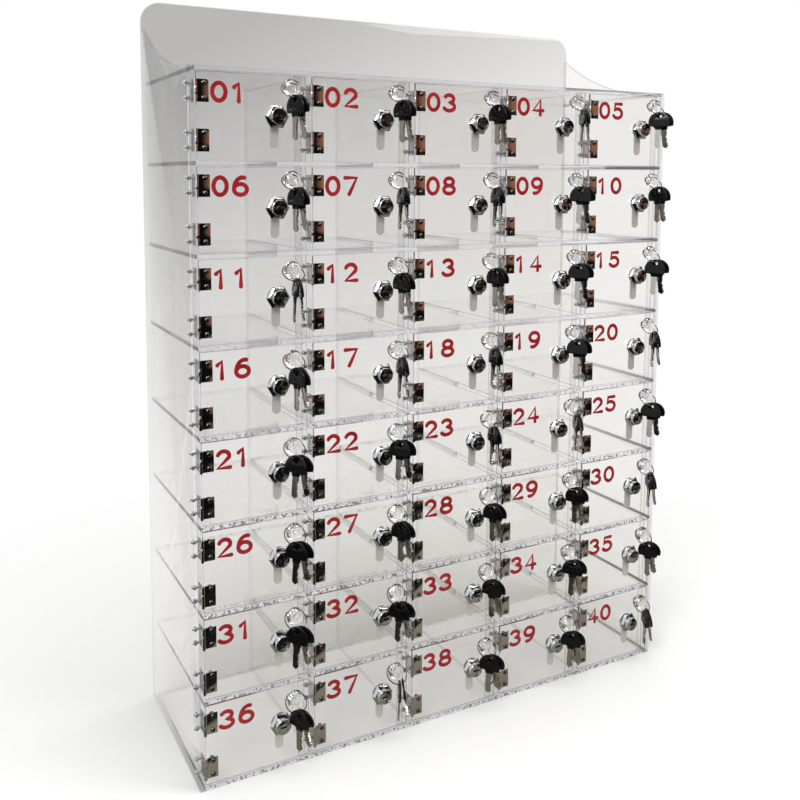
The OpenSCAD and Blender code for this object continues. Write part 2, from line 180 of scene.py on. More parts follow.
# A height of 0 is straight down and 1 straight up. The right is towards +X, behind is +Y.
height = scaled(tree, direction["Z"], -1, 1)
warm_side = ramp(tree, height, (0.27, stone), (0.315, dusk), (0.42, dusk), (0.465, wood),
                 (0.60, wood), (0.70, dusk))
window = ramp(tree, height, (0.38, dusk), (0.43, white), (0.90, white), (0.94, dusk))
middle = mix_colour(tree, scaled(tree, direction["X"], 0.29, 0.66), dusk, warm_side)
front = mix_colour(tree, scaled(tree, direction["X"], -0.15, -0.24), middle, window)
mirrored = mix_colour(tree, scaled(tree, direction["Y"], 0.10, 0.30), front, white)
sharp = maths(tree, "MAXIMUM", path["Is Glossy Ray"], path["Is Transmission Ray"])
soft_light = grey(0.55)
lit = mix_colour(tree, sharp, soft_light, mirrored)
seen = mix_colour(tree, path["Is Camera Ray"], lit, white)
node(tree, "OutputWorld", {"Surface": node(tree, "Background", {"Color": seen}).outputs[0]})

# place, size and power in watts. All the lamps face the middle of the case.
lamp_aim = Vector((0.0, 0.0, 0.4))
lamps = {
    "key": ((-1.5, -1.5, 1.9), 0.9, 34.0),
    "fill": ((1.3, -1.2, 2.2), 1.2, 18.0),
    "overhead": ((0.0, -0.2, 2.3), 1.4, 16.0),
}
for name, (place, size, power) in lamps.items():
    facing = (lamp_aim - Vector(place)).to_track_quat("-Z", "Y").to_euler()
    bpy.ops.object.light_add(type="AREA", location=place, rotation=facing)
    lamp = bpy.context.object
    lamp.name = name
    lamp.data.size, lamp.data.energy = size, power

# Case sheets
# The back, sides, top, floor, shelves and dividers are clear cast acrylic 5 mm thick, with
# polished edges, slotted into each other and welded with solvent. A 3 mm strip stands behind
# the free edge of each door.


def select_only(*pieces):
    bpy.ops.object.select_all(action="DESELECT")
    for piece in pieces:
        piece.select_set(True)
    bpy.context.view_layer.objects.active = pieces[0]


def apply_modifier(piece, kind, **settings):
    modifier = piece.modifiers.new(kind.lower(), kind)
    for name, value in settings.items():
        setattr(modifier, name, value)
    select_only(piece)
    bpy.ops.object.modifier_apply(modifier=modifier.name)


def soften(piece, width, segments=2):
    """Rounds every sharp edge of a piece a little, as its real edges are."""
    apply_modifier(piece, "BEVEL", width=width, segments=segments, angle_limit=math.radians(35))


def polish(shade_angle=30):
    bpy.ops.object.shade_smooth_by_angle(angle=math.radians(shade_angle))


def own_copy(pattern):
    """A copy of an object with its own mesh."""
    piece = pattern.copy()
    piece.data = pattern.data.copy()
    scene.collection.objects.link(piece)
    return piece


def speckle(tree, scale, detail=4.0):
    place = node(tree, "TexCoord").outputs["Object"]
    return node(tree, "TexNoise", {"Vector": place, "Scale": scale, "Detail": detail}).outputs[0]


def clear_sheet(name, low, middle, high):
    """Polished sheet, of which more is mirrored at a slant. The share of light that passes is given for
    the case's foot, its middle and its upper left corner, and its drop towards the upper left is painted
    shade."""
    material, tree = new_material(name)
    slant = node(tree, "LayerWeight", {"Blend": 0.5}).outputs["Facing"]
    straight_on, edge_on = 0.035, 0.9
    mirror = scaled(tree, maths(tree, "POWER", slant, 5.0), 0.0, 1.0, straight_on, edge_on)
    place = parts_of(tree, node(tree, "TexCoord").outputs["Object"])
    # Painted shade: the sheet passes less light the higher up and the further left it is.
    leftward = -0.55
    towards_shaded_corner = maths(tree, "MULTIPLY_ADD", place["X"], leftward, place["Z"])
    painted_shade_stops = [(height, (passed, 0.997 * passed, 0.992 * passed, 1))
             for height, passed in ((0.35, low), (0.70, middle), (1.0, high))]
    painted_shade_and_tone = ramp(tree, towards_shaded_corner, *painted_shade_stops)
    painted_shade_and_tone = mix_colour(tree, speckle(tree, 3.0), painted_shade_and_tone, grey(0.985), "MULTIPLY")
    ripple = node(tree, "Bump", {"Height": speckle(tree, 9.0, 1.0), "Strength": 0.02, "Distance": 0.01})
    open_part = node(tree, "BsdfTransparent", {"Color": painted_shade_and_tone})
    gloss = node(tree, "BsdfPrincipled", {
        "Base Color": grey(0.95), "Metallic": 1.0, "Roughness": 0.04, "Normal": ripple.outputs[0]})
    surface(tree, blended(tree, mirror, open_part, gloss))
    return material


def sheet_edge(name, front_solid, joint_solid=0.25, end_solid=0.25, specked=0.0):
    """A polished edge carries light along the sheet. The edges that face forward are painted pale as
    glow, the sheet's far left and right ends are painted dark lilac grey as shade, and slots and joints
    are grey. Shelf fronts have fine dark specks low down in the case. A share of 1 hides what is behind."""
    material, tree = new_material(name)
    seat = node(tree, "TexCoord").outputs
    place, facing = parts_of(tree, seat["Object"]), parts_of(tree, seat["Normal"])
    forward = scaled(tree, facing["Y"], -0.5, -0.9)
    sideways = maths(tree, "ABSOLUTE", facing["X"])
    end_from, end_full = 0.320, 0.324
    far_out = scaled(tree, maths(tree, "ABSOLUTE", place["X"]), end_from, end_full)
    ends = maths(tree, "MULTIPLY", sideways, far_out)
    grain = speckle(tree, 60.0)
    specks = scaled(tree, speckle(tree, 260.0, 2.0), 0.52, 0.55, 0.0, specked)
    specks_end, specks_full = 0.60, 0.35
    low = scaled(tree, place["Z"], specks_end, specks_full)
    low = maths(tree, "MULTIPLY", maths(tree, "MULTIPLY", low, specks), forward)
    # Painted light and shade: a pale glow on the forward edges and dark lilac grey shade at the far
    # ends, each with a random grain.
    painted_glow_tone = ramp(tree, grain, (0.36, (0.42, 0.41, 0.46, 1)), (0.62, (0.56, 0.55, 0.59, 1)))
    painted_shade_tone = ramp(tree, grain, (0.36, (0.035, 0.03, 0.06, 1)), (0.62, (0.10, 0.09, 0.15, 1)))
    tone = mix_colour(tree, forward, (0.25, 0.25, 0.27, 1), painted_glow_tone)
    tone = mix_colour(tree, low, mix_colour(tree, ends, tone, painted_shade_tone), (0.10, 0.10, 0.11, 1))
    body = node(tree, "BsdfPrincipled", {"Base Color": tone, "Roughness": 0.16, "IOR": 1.49})
    open_part = node(tree, "BsdfTransparent", {"Color": (0.96, 0.96, 0.97, 1)})
    shown = scaled(tree, forward, 0.0, 1.0, joint_solid, front_solid)
    shown = scaled(tree, ends, 0.0, 1.0, maths(tree, "MAXIMUM", shown, low), end_solid)
    surface(tree, blended(tree, shown, open_part, body))
    return material


def sheet_arris(name, colour, solid):
    """The narrow rounding between a face and an edge is painted as a fine darker line of shade, which is
    fainter at the back, where the sheets are welded."""
    material, tree = new_material(name)
    place = parts_of(tree, node(tree, "TexCoord").outputs["Object"])
    # Painted shade: a dark colour for the rounding, with a random lighter grain.
    lighter = tuple(1.6 * c for c in colour[:3]) + (1,)
    tone = mix_colour(tree, speckle(tree, 80.0), colour, lighter)
    body = node(tree, "BsdfPrincipled", {"Base Color": tone, "Roughness": 0.2, "IOR": 1.49})
    open_part = node(tree, "BsdfTransparent", {"Color": (0.94, 0.94, 0.955, 1)})
    back_from, back_full = 0.090, 0.100
    shown = scaled(tree, place["Y"], back_from, back_full, solid, 0.3 * solid)
    surface(tree, blended(tree, shown, open_part, body))
    return material


def face_and_edge(piece, thin_axis, face, edge, arris):
    """Gives a sheet one material on its two broad faces, one on its edges and one on the
    narrow roundings between them."""
    piece.data.materials.clear()
    for finish in (face, edge, arris):
        piece.data.materials.append(finish)
    for polygon in piece.data.polygons:
        slant = abs(polygon.normal[thin_axis])
        polygon.material_index = 0 if slant > 0.95 else 1 if slant < 0.05 else 2


polished_round = 0.0004


def sheet_from(node_name, thin_axis, face, edge, arris):
    """A sheet with the node's outline, slots and holes, and edges rounded by polishing."""
    piece = own_copy(frame["nodes"][node_name])
    piece.name = node_name + "_sheet"
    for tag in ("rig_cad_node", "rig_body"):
        del piece[tag]
    piece.parent = None
    select_only(piece)
    bpy.ops.object.mode_set(mode="EDIT")
    bpy.ops.mesh.select_all(action="SELECT")
    bpy.ops.mesh.customdata_custom_splitnormals_clear()
    bpy.ops.mesh.remove_doubles(threshold=0.00001)
    bpy.ops.mesh.dissolve_limited(angle_limit=math.radians(0.5))
    bpy.ops.object.mode_set(mode="OBJECT")
    soften(piece, polished_round)
    face_and_edge(piece, thin_axis, face, edge, arris)
    polish()
    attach(piece, "case")
    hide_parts(node_name)


# Each sheet passes less light towards the upper left of the case: painted shade.
side_face = clear_sheet("acrylic_side", 0.985, 0.86, 0.74)
case_face = clear_sheet("acrylic_case", 0.997, 0.983, 0.972)
back_face = clear_sheet("acrylic_back", 0.990, 0.91, 0.72)
upright_edge = sheet_edge("acrylic_upright_edge", 0.25)
level_edge = sheet_edge("acrylic_level_edge", 0.15, end_solid=0.95, specked=0.85)
faint_edge = sheet_edge("acrylic_faint_edge", 0.12, joint_solid=0.12, end_solid=0.12)
case_arris = sheet_arris("acrylic_case_arris", (0.16, 0.155, 0.19, 1), 0.60)
faint_arris = sheet_arris("acrylic_faint_arris", (0.30, 0.30, 0.34, 1), 0.22)
X, Y, Z = 0, 1, 2
sheet_from("back_panel", Y, back_face, faint_edge, faint_arris)
sheet_from("left_side_panel", X, side_face, upright_edge, case_arris)
for upright in ("right_side_panel", "dividers"):
    sheet_from(upright, X, case_face, upright_edge, case_arris)
for flat in ("top_panel", "bottom_panel", "shelves"):
    sheet_from(flat, Z, case_face, level_edge, case_arris)
sheet_from("stop_strips", Y, case_face, faint_edge, faint_arris)

# Hinge leaves on the case
# Pressed steel leaves with rolled knuckles on long pins, held by screws through the sheet with
# nuts behind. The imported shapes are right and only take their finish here.


def bright_metal(name, light, dark, rough, scale=240.0, metallic=1.0):
    """Plated or polished metal, a little cloudy and finely scratched."""
    material, tree = new_material(name)
    cloud = speckle(tree, scale)
    colour = mix_colour(tree, cloud, light, dark)
    rub = scaled(tree, speckle(tree, scale * 4), 0.3, 0.7, rough, rough + 0.10)
    dent = node(tree, "Bump", {"Height": cloud, "Strength": 0.03, "Distance": 0.0002})
    body = node(tree, "BsdfPrincipled", {
        "Base Color": colour, "Metallic": metallic, "Roughness": rub, "Normal": dent.outputs[0]})
    surface(tree, body)
    return material


hinge_steel = bright_metal("hinge_steel", (0.62, 0.60, 0.57, 1), (0.50, 0.48, 0.46, 1), 0.04)
chrome = bright_metal("chrome_plate", (0.60, 0.61, 0.62, 1), (0.52, 0.53, 0.54, 1), 0.05)
zinc = bright_metal("zinc_plate", (0.82, 0.83, 0.85, 1), (0.66, 0.67, 0.69, 1), 0.12, metallic=0.85)
# Painted shade: the door screws, their nuts and the key rings are plated metal given a near-black
# colour, so that they show dark.
shade_darkened_steel = bright_metal("shade_darkened_steel", (0.17, 0.165, 0.165, 1), (0.11, 0.105, 0.105, 1), 0.08)
dressed = {"frame_hinge_leaves": hinge_steel, "hinge_pins": hinge_steel,
           "frame_hinge_screws": zinc, "frame_hinge_nuts": zinc}
for name, finish in dressed.items():
    finishes = frame["nodes"][name].data.materials
    finishes.clear()
    finishes.append(finish)

# Door sheets
# Each door is a 3 mm acrylic sheet, drilled for the lock, the knob and the hinge screws, and its edges
# carry a painted dull red glow beside the number.

# From here on a piece is modelled in its locker's frame: x from the locker's left edge, y from
# the doors' front face, z from its top. The hinge joints give each locker's place.
pin_x, pin_y, mid_z = 0.0054, -0.002, -0.0525
corners = {}
for joint in frame["joints"]:
    if joint["name"].endswith("_swing"):
        corners[joint["child"]] = Vector(joint["pos_m"]) - Vector((pin_x, pin_y, mid_z))
column_pitch = corners["door_02"].x - corners["door_01"].x
row_pitch = corners["door_01"].z - corners["door_06"].z
columns = round((corners["door_05"].x - corners["door_01"].x) / column_pitch) + 1


def moved(x, y, z):
    return Matrix.Translation((x, y, z))


def turned(degrees, axis):
    return Matrix.Rotation(math.radians(degrees), 4, axis)


def block(low, high):
    """A box between two opposite corners."""
    low, high = Vector(low), Vector(high)
    bpy.ops.mesh.primitive_cube_add(size=1, location=(low + high) / 2, scale=high - low)
    bpy.ops.object.transform_apply(location=True, rotation=True, scale=True)
    return bpy.context.object


turned_to = {X: (0, math.radians(90), 0), Y: (math.radians(-90), 0, 0), Z: (0, 0, 0)}


def rod(radius, start, length, axis=Y, sides=32, end_radius=None):
    """A round bar or cone from a start point along an axis."""
    middle = Vector(start)
    middle[axis] += length / 2
    bpy.ops.mesh.primitive_cone_add(
        vertices=sides, radius1=radius, radius2=radius if end_radius is None else end_radius,
        depth=length, location=middle, rotation=turned_to[axis])
    bpy.ops.object.transform_apply(location=True, rotation=True, scale=True)
    return bpy.context.object


def joined(*pieces):
    select_only(*pieces)
    if len(pieces) > 1:
        bpy.ops.object.join()
    return bpy.context.object


def cut(piece, *cutters, operation="DIFFERENCE"):
    """Cuts the cutters out of a piece, or keeps only what they share."""
    tool = joined(*cutters)
    apply_modifier(piece, "BOOLEAN", operation=operation, object=tool, solver="EXACT")
    bpy.data.objects.remove(tool)
    return piece


def finished(piece, *finishes, smooth=30):
    """Merges what a piece is made of, turns its faces outwards and sets its finishes."""
    select_only(piece)
    bpy.ops.object.mode_set(mode="EDIT")
    bpy.ops.mesh.select_all(action="SELECT")
    bpy.ops.mesh.remove_doubles(threshold=0.000002)
    bpy.ops.mesh.normals_make_consistent(inside=False)
    bpy.ops.object.mode_set(mode="OBJECT")
    if finishes:
        piece.data.materials.clear()
        for finish in finishes:
            piece.data.materials.append(finish)
    polish(smooth)
    return piece


def copy_to(pattern, name, door, body=None):
    """A copy of a pattern with its own mesh, moved into its locker and riding on its body."""
    piece = own_copy(pattern)
    piece.name = name
    piece.data.transform(moved(*corners[door]))
    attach(piece, body or door)
    return piece


door_t = 0.003
door_low, door_high = (0.0065, 0.0, -0.0992), (0.131, door_t, -0.0058)
lock_x, lock_z, barrel_r = 0.096, -0.051, 0.009
knob_x, knob_z = 0.110, -0.0198
hole_r, barrel_hole_r = 0.0015, 0.0091
door_hole_x = pin_x + 0.0092
hinge_zs, screw_step = (-0.0265, -0.0785), 0.008
screw_zs = [z + side * screw_step for z in hinge_zs for side in (-1, 1)]
past = 0.001

pattern = block(door_low, door_high)
pattern.name = "door_sheet_pattern"
holes = [rod(barrel_hole_r, (lock_x, -past, lock_z), door_t + 2 * past, sides=48)]
holes.append(rod(hole_r, (knob_x, -past, knob_z), door_t + 2 * past, sides=20))
for z in screw_zs:
    holes.append(rod(hole_r, (door_hole_x, -past, z), door_t + 2 * past, sides=20))
cut(pattern, *holes)
soften(pattern, 0.00025)
finished(pattern)


def door_rim(name, plain_dark, plain_light, solid):
    """The edge of a door, painted with a red glow along the two sides of its number."""
    material, tree = new_material(name)
    place = node(tree, "TexCoord").outputs["Object"]
    first = corners["door_01"]
    inside = node(tree, "VectorMath", {0: place, 1: (first.x, first.y, first.z)}, operation="SUBTRACT")
    inside = node(tree, "VectorMath", {
        0: inside.outputs[0], 1: (column_pitch, 1.0, row_pitch), 2: (0.0, 0.0, 0.0)}, operation="WRAP")
    inside = parts_of(tree, inside.outputs[0])
    red_until, plain_from = 0.060, 0.074
    near_left = scaled(tree, inside["X"], red_until, plain_from, 1.0, 0.0)
    near_top = scaled(tree, inside["Z"], 0.55 * row_pitch, 0.70 * row_pitch)
    near_number = maths(tree, "MULTIPLY", near_left, near_top)
    grain = speckle(tree, 90.0)
    plain = ramp(tree, grain, (0.35, plain_dark), (0.6, plain_light))
    # Painted glow: the edge is coloured dark red close to the number.
    red = ramp(tree, grain, (0.38, (0.06, 0.004, 0.008, 1)), (0.60, (0.18, 0.010, 0.020, 1)))
    body = node(tree, "BsdfPrincipled", {
        "Base Color": mix_colour(tree, near_number, plain, red), "Roughness": 0.2, "IOR": 1.49})
    open_part = node(tree, "BsdfTransparent", {"Color": (0.94, 0.94, 0.955, 1)})
    red_solid = 0.92
    shown = scaled(tree, near_number, 0.0, 1.0, solid, red_solid)
    surface(tree, blended(tree, shown, open_part, body))
    return material


# The doors also pass less light towards the upper left: painted shade.
door_face = clear_sheet("acrylic_door", 0.990, 0.975, 0.960)
door_edge = door_rim("acrylic_door_edge", (0.30, 0.30, 0.33, 1), (0.52, 0.52, 0.55, 1), 0.35)
# The door's narrow roundings are painted darker as lines of shade, with the same painted red glow by the
# number.
door_arris = door_rim("acrylic_door_arris", (0.13, 0.125, 0.15, 1), (0.22, 0.21, 0.24, 1), 0.6)
face_and_edge(pattern, Y, door_face, door_edge, door_arris)
for door in corners:
    piece = copy_to(pattern, door + "_sheet", door)
    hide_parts(door)
bpy.data.objects.remove(pattern)

# Numbers
# Each door has its number from 01 to 40 in its upper left corner, cut from thin red film and
# stuck to the front. The plain rounded figures are about 24 mm tall.
figure_w, figure_h, stroke_r = 0.0152, 0.0187, 0.0024
film_t, glue_t = 0.00008, 0.00002
first_figure_x, figure_step, figure_foot_z = 0.0237, 0.0227, -0.0364


def arc(middle_x, middle_z, reach_x, reach_z, start, end, steps=14):
    """Points along part of an ellipse, in shares of a figure's width and height."""
    angles = [math.radians(start + (end - start) * k / steps) for k in range(steps + 1)]
    return [(middle_x + reach_x * math.cos(a), middle_z + reach_z * math.sin(a)) for a in angles]


six = [arc(0.50, 0.31, 0.48, 0.31, 0, 360, 24), arc(0.66, 0.33, 0.64, 0.67, 180, 78)]
FIGURES = {
    "0": [arc(0.50, 0.50, 0.48, 0.50, 0, 360, 28)],
    "1": [[(0.12, 0.80), (0.45, 1.0), (0.45, 0.0)]],
    "2": [arc(0.48, 0.71, 0.43, 0.29, 160, -28) + [(0.04, 0.0), (0.98, 0.0)]],
    "3": [arc(0.45, 0.76, 0.41, 0.24, 150, -90) + arc(0.45, 0.26, 0.50, 0.26, 90, -155)],
    "4": [[(0.72, 0.0), (0.72, 1.0), (0.0, 0.28), (1.0, 0.28)]],
    "5": [[(0.90, 1.0), (0.20, 1.0), (0.10, 0.55)] + arc(0.46, 0.33, 0.50, 0.33, 128, -150)],
    "6": six,
    "7": [[(0.02, 1.0), (0.98, 1.0), (0.36, 0.0)]],
    "8": [arc(0.50, 0.76, 0.40, 0.24, 0, 360, 24), arc(0.50, 0.26, 0.49, 0.26, 0, 360, 24)],
    "9": [[(1 - x, 1 - z) for x, z in stroke] for stroke in six],
}
# How far out the steps of a stroke's end are and how wide, in shares of the stroke's radius.
round_end = [(0.0, 1.0), (0.5, 0.87), (0.87, 0.5), (1.0, 0.02)]


def rounded_off(end, beside):
    """Points outwards from a stroke's open end, with the widths that round it off."""
    outward = (Vector(end) - Vector(beside)).normalized() * stroke_r
    return [((Vector(end) + outward * out)[:], wide) for out, wide in round_end]


def stroke_points(points):
    """A stroke's points with their widths, and whether the stroke is closed."""
    if (Vector(points[0]) - Vector(points[-1])).length < 1e-9:
        return [(p, 1.0) for p in points[:-1]], True
    first = rounded_off(points[0], points[1])
    last = rounded_off(points[-1], points[-2])
    return first[::-1] + [(p, 1.0) for p in points[1:-1]] + last, False


def figure(digit, left):
    """One figure as a flat stroke with rounded ends."""
    curve = bpy.data.curves.new("figure", "CURVE")
    curve.dimensions = "3D"
    curve.bevel_depth, curve.bevel_resolution = stroke_r, 2
    for stroke in FIGURES[digit]:
        places = [(left + x * figure_w, figure_foot_z + z * figure_h) for x, z in stroke]
        marked, closed = stroke_points(places)
        spline = curve.splines.new("POLY")
        spline.points.add(len(marked) - 1)
        spline.use_cyclic_u = closed
        for point, ((x, z), wide) in zip(spline.points, marked):
            point.co, point.radius = (x, 0.0, z, 1.0), wide
    piece = bpy.data.objects.new("figure", curve)
    scene.collection.objects.link(piece)
    select_only(piece)
    bpy.ops.object.convert(target="MESH")
    piece = bpy.context.object
    flat = Matrix.Diagonal((1.0, film_t / (2 * stroke_r), 1.0, 1.0))
    piece.data.transform(moved(0, -film_t / 2 - glue_t, 0) @ flat)
    return piece


material, tree = new_material("number_red")
patch = speckle(tree, 45.0)
colour = ramp(tree, patch, (0.35, (0.25, 0.007, 0.010, 1)), (0.65, (0.33, 0.014, 0.017, 1)))
creases = node(tree, "Bump", {"Height": speckle(tree, 700.0), "Strength": 0.1, "Distance": 0.0002})
film = node(tree, "BsdfPrincipled", {
    "Base Color": colour, "Roughness": scaled(tree, patch, 0.3, 0.7, 0.32, 0.45),
    "Specular IOR Level": 0.3, "Normal": creases.outputs[0]})
surface(tree, film)
for door in corners:
    tens, units = door[-2:]
    digits = [figure(tens, first_figure_x), figure(units, first_figure_x + figure_step)]
    piece = finished(joined(*digits), material, smooth=50)
    piece.name = door + "_number"
    piece.data.transform(moved(*corners[door]))
    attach(piece, door)

# Door hinge leaves
# Two pressed steel leaves a door, each with its middle knuckle, held by two domed screws
# through the sheet with a nut behind.
air = 0.00005
leaf_x1, leaf_y0, leaf_y1 = pin_x + 0.0146, -0.0008 - air, -air
leaf_half, knuckle_half, knuckle_r = 0.012, 0.0039, 0.0019
notch_x, notch_z = 0.00215, knuckle_half + 0.0001
pin_hole_r = 0.001
screw_r, head_r, head_h = 0.00145, 0.0028, 0.0017
cross_bar, cross_arm, cross_floor = 0.00028, 0.0013, 0.55
nut_af, nut_t, screw_end = 0.0055, 0.0024, 0.0018
cone_wide, cone_narrow = 1.35, 0.86


def domed_screw(x, y, z, grip):
    """A screw along +Y: domed head with a cross recess in front of y, shank behind it."""
    bpy.ops.mesh.primitive_uv_sphere_add(segments=24, ring_count=12, radius=head_r)
    head = bpy.context.object
    low_dome = Matrix.Diagonal((1, head_h / head_r, 1, 1))
    head.data.transform(moved(x, y, z) @ low_dome @ turned(90, "X"))
    select_only(head)
    bpy.ops.object.mode_set(mode="EDIT")
    bpy.ops.mesh.select_all(action="SELECT")
    bpy.ops.mesh.bisect(plane_co=(x, y, z), plane_no=(0, 1, 0), clear_outer=True, use_fill=True)
    bpy.ops.object.mode_set(mode="OBJECT")
    slots = [block((x - a, y - head_h - past, z - b), (x + a, y - cross_floor * head_h, z + b))
             for a, b in ((cross_bar, cross_arm), (cross_arm, cross_bar))]
    for slot in slots:
        cut(head, slot)
    shank = rod(screw_r, (x, y - 0.0002, z), grip, sides=20)
    soften(shank, 0.0003, 1)
    return [head, shank]


def hexagon_nut(x, y, z):
    """A nut along +Y that sits on y, with its corners taken off by a cone."""
    radius = nut_af / math.sqrt(3)
    nut = rod(radius, (x, y, z), nut_t, sides=6)
    cone = rod(cone_wide * radius, (x, y - 0.0001, z), nut_t + 0.0001, sides=24,
               end_radius=cone_narrow * radius)
    return cut(nut, cone, operation="INTERSECT")


leaves, fixings = [], []
for z in hinge_zs:
    leaf = block((pin_x, leaf_y0, z - leaf_half), (leaf_x1, leaf_y1, z + leaf_half))
    for low, high in ((-leaf_half - past, -notch_z), (notch_z, leaf_half + past)):
        cut(leaf, block((pin_x - past, -0.002, z + low), (pin_x + notch_x, past, z + high)))
    soften(leaf, 0.00012, 2)
    knuckle = rod(knuckle_r, (pin_x, pin_y, z - knuckle_half), 2 * knuckle_half, Z)
    cut(knuckle, rod(pin_hole_r, (pin_x, pin_y, z - 0.01), 0.02, Z, sides=20))
    soften(knuckle, 0.00012, 2)
    leaves += [leaf, knuckle]
for z in screw_zs:
    fixings += domed_screw(door_hole_x, leaf_y0 - air, z,
                           leaf_y1 - leaf_y0 + door_t + 2 * air + nut_t + screw_end)
    fixings.append(hexagon_nut(door_hole_x, door_t + air, z))
leaves = finished(joined(*leaves), hinge_steel)
fixings = finished(joined(*fixings), shade_darkened_steel)
for door in corners:
    hinges = copy_to(leaves, door + "_hinge_leaves", door)
    screws = copy_to(fixings, door + "_hinge_screws", door)
bpy.data.objects.remove(leaves)
bpy.data.objects.remove(fixings)

# Locks
# A chromed cam lock stands through each door: a barrel with a flange behind, a hexagon nut in
# front, and a plug with a key slot that turns the steel cam behind the door.


def weld(piece, added):
    """Makes one shape of a piece and another that it meets."""
    cut(piece, added, operation="UNION")


barrel_front, barrel_back, barrel_edge = -0.0095, door_t + 0.0034, 0.0008
flange_r, flange_t = 0.0115, 0.0015
rim_r, rim_t, rim_seat, plug_r, recess = 0.0072, 0.0009, 0.0012, 0.0062, 0.0002
lock_play = 0.0001
lock_nut_af, lock_nut_t, nut_wall, nut_top_r = 0.0245, 0.0035, 0.0011, 0.0112
slot_w, slot_h, slot_depth = 0.0084, 0.0022, 0.007
plug_back, square_front = 0.0055, 0.004
cam_y, cam_t, cam_w, cam_reach = 0.0067, 0.0018, 0.010, 0.034
square_side, cam_screw_r, cam_screw_h = 0.005, 0.004, 0.0016

barrel = rod(barrel_r, (lock_x, barrel_front, lock_z), barrel_back - barrel_front, sides=48)
soften(barrel, barrel_edge, 3)
for bore_r, bore_l in ((rim_r + lock_play, past + rim_seat), (plug_r + lock_play, 0.03)):
    cut(barrel, rod(bore_r, (lock_x, barrel_front - past, lock_z), bore_l, sides=48))
flange = rod(flange_r, (lock_x, door_t + air, lock_z), flange_t, sides=48)
cut(flange, rod(barrel_r - 0.0002, (lock_x, 0.0, lock_z), 0.01, sides=48))
soften(flange, 0.0002)

# The nut is a low hexagon whose front face is pulled out and drawn in.
corner_r = lock_nut_af / math.sqrt(3)
lock_nut = rod(corner_r, (lock_x, -nut_wall - air, lock_z), nut_wall, sides=6)
select_only(lock_nut)
front_face = min(lock_nut.data.polygons, key=lambda f: f.center.y).index
bpy.ops.object.mode_set(mode="EDIT")
bpy.ops.mesh.select_mode(type="FACE")
bpy.ops.mesh.select_all(action="DESELECT")
bpy.ops.object.mode_set(mode="OBJECT")
lock_nut.data.polygons[front_face].select = True
bpy.ops.object.mode_set(mode="EDIT")
bpy.ops.mesh.extrude_region_move(TRANSFORM_OT_translate={"value": (0, nut_wall - lock_nut_t, 0)})
bpy.ops.transform.resize(value=(nut_top_r / corner_r, 1.0, nut_top_r / corner_r),
                         center_override=(lock_x, -lock_nut_t, lock_z))
bpy.ops.object.mode_set(mode="OBJECT")
lock_nut.data.transform(moved(lock_x, 0, lock_z) @ turned(30, "Y") @ moved(-lock_x, 0, -lock_z))
cut(lock_nut, rod(barrel_r + lock_play, (lock_x, -0.02, lock_z), 0.04, sides=48))
soften(lock_nut, 0.00015, 2)
lock_case = finished(joined(barrel, flange, lock_nut), chrome)

plug_front = barrel_front + recess
rim = rod(rim_r, (lock_x, plug_front, lock_z), rim_t, sides=48)
plug = rod(plug_r, (lock_x, plug_front + 0.5 * rim_t, lock_z), plug_back - plug_front, sides=48)
weld(plug, rim)
cut(plug, block((lock_x - slot_w / 2, plug_front - past, lock_z - slot_h / 2),
                (lock_x + slot_w / 2, plug_front + slot_depth, lock_z + slot_h / 2)))
soften(plug, 0.00015, 2)
square = block((lock_x - square_side / 2, square_front, lock_z - square_side / 2),
               (lock_x + square_side / 2, cam_y + cam_t, lock_z + square_side / 2))
cam = block((lock_x - cam_w / 2, cam_y, lock_z - cam_reach + cam_w / 2),
            (lock_x + cam_w / 2, cam_y + cam_t, lock_z))
for z in (lock_z, lock_z - cam_reach + cam_w / 2):
    weld(cam, rod(cam_w / 2, (lock_x, cam_y, z), cam_t, sides=40))
soften(cam, 0.0002, 2)
cam_screw = rod(cam_screw_r, (lock_x, cam_y + cam_t + air, lock_z), cam_screw_h, sides=32)
soften(cam_screw, 0.0005, 3)
cam_steel = bright_metal("cam_steel", (0.80, 0.79, 0.77, 1), (0.70, 0.69, 0.67, 1), 0.40, metallic=0.3)
plug = finished(joined(plug, square), chrome)
cam = finished(joined(cam, cam_screw), cam_steel)
lock_plug = joined(plug, cam)

for door in corners:
    shell = copy_to(lock_case, door + "_lock_case", door)
    turning = "lock_" + door[-2:]
    own_body = turning in frame["bodies"]
    piece = copy_to(lock_plug, door + "_lock_plug", door, turning if own_body else door)
    if own_body:
        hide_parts("lock_plug_" + door[-2:])
bpy.data.objects.remove(lock_case)
bpy.data.objects.remove(lock_plug)

# Knobs
# A clear cut-glass knob on a short neck, faceted like a brilliant, sits on the door. On the real door a
# screw from behind pulls it tight, and that screw is not built here.
facets = 12
neck_r, neck_h, slope_h, girdle_h, crown_h = 0.004, 0.0045, 0.0025, 0.004, 0.004
knob_r, table_r = 0.0098, 0.006
shoulder_r, waist_r = 0.88 * knob_r, 0.72 * knob_r
girdle_front = -air - neck_h - slope_h - girdle_h
knob = rod(knob_r, (knob_x, girdle_front, knob_z), girdle_h, sides=facets)
select_only(knob)
bpy.ops.object.mode_set(mode="EDIT")
bpy.ops.mesh.select_mode(type="FACE")


def pull_end(normal_y, distance, scale, twist=0.0):
    """Pulls the knob's end face out along Y, scaled and turned about its middle."""
    bpy.ops.mesh.select_all(action="DESELECT")
    bpy.ops.object.mode_set(mode="OBJECT")
    faces = [f for f in knob.data.polygons if f.normal.y * normal_y > 0.9]
    end = max(faces, key=lambda f: f.center.y * normal_y)
    middle = end.center.copy()
    end.select = True
    bpy.ops.object.mode_set(mode="EDIT")
    bpy.ops.mesh.extrude_region_move(TRANSFORM_OT_translate={"value": (0, normal_y * distance, 0)})
    bpy.ops.transform.resize(value=(scale, 1.0, scale), center_override=middle)
    if twist:
        bpy.ops.transform.rotate(value=math.radians(twist), orient_axis="Y", center_override=middle)


